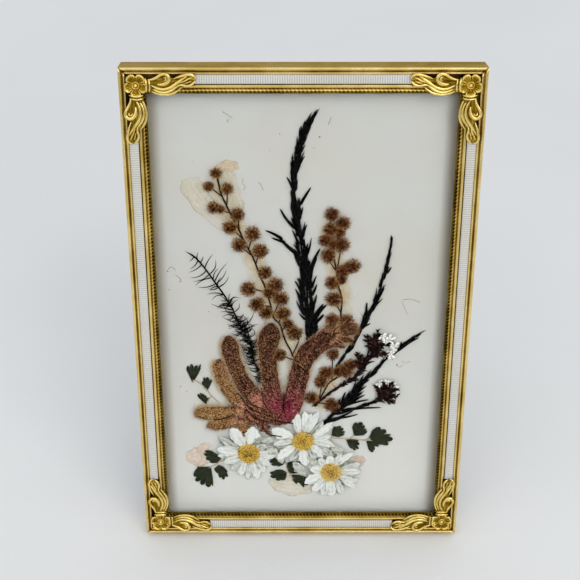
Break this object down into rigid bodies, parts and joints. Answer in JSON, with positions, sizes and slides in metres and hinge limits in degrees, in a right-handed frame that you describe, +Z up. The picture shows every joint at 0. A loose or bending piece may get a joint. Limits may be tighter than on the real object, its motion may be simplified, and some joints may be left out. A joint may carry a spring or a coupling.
{
  "type": "pressed flower frame",
  "caption": "Stamped brass easel frame with a white ribbed border and corner ornaments, glazed over a pale card of pressed flowers and leaves, on a hinged strut.",
  "frame": {"origin": "middle of the footprint, on the surface that the frame stands on", "axes": "+Z up, -Y the way that the picture faces, +X to the viewer's right"},
  "size_m": [0.1, 0.0518, 0.15],
  "materials": {
    "gilt_brass": "satin",
    "white_strip": "satin",
    "glass": "polished",
    "mount_card": "matte",
    "back_board": "matte",
    "hinge_steel": "satin",
    "daisy": "matte",
    "paw": "matte",
    "wattle": "matte",
    "needle": "matte",
    "fern": "matte",
    "heath": "matte",
    "maidenhair": "matte",
    "pale_petal": "matte"
  },
  "bodies": {
    "frame": {"rail_top": "gilt_brass", "rail_bottom": "gilt_brass", "rail_left": "gilt_brass", "rail_right": "gilt_brass", "insert_top": "white_strip", "insert_bottom": "white_strip", "insert_left": "white_strip", "insert_right": "white_strip", "corner_top_left": "gilt_brass", "corner_top_right": "gilt_brass", "corner_bottom_left": "gilt_brass", "corner_bottom_right": "gilt_brass", "glass": "glass", "mount_card": "mount_card", "back_board": "back_board", "hinge_bracket": "hinge_steel", "hinge_pin": "hinge_steel", "bracket_rivet_left": "hinge_steel", "bracket_rivet_right": "hinge_steel", "daisy_left": "daisy", "daisy_middle": "daisy", "daisy_right": "daisy", "paw_base": "paw", "paw_bud": "paw", "paw_flower_right": "paw", "paw_flower_middle": "paw", "paw_flower_inner": "paw", "paw_flower_outer": "paw", "paw_flower_side": "paw", "paw_flower_low": "paw", "wattle_left": "wattle", "wattle_right": "wattle", "wattle_low": "wattle", "needle_spray_tall": "needle", "needle_spray_middle": "needle", "needle_spray_low": "needle", "fern_sprig": "fern", "heath_upper": "heath", "heath_lower": "heath", "maidenhair_upper_left": "maidenhair", "maidenhair_lower_left": "maidenhair", "maidenhair_lower_middle": "maidenhair", "maidenhair_right": "maidenhair", "pale_petal_upper": "pale_petal", "pale_petal_veined": "pale_petal", "pale_petal_pink": "pale_petal", "pale_petal_cream": "pale_petal", "pale_petal_tan": "pale_petal"},
    "leg": {"strut": "back_board", "strut_leaf": "hinge_steel", "strut_rivet_upper": "hinge_steel", "strut_rivet_lower": "hinge_steel"}
  },
  "joints": [
    {"name": "strut_hinge", "type": "hinge", "parent": "frame", "child": "leg", "pos_m": [0, 0.00629, 0.1072], "axis": [1, 0, 0], "range_deg": [-22, 0]}
  ]
}
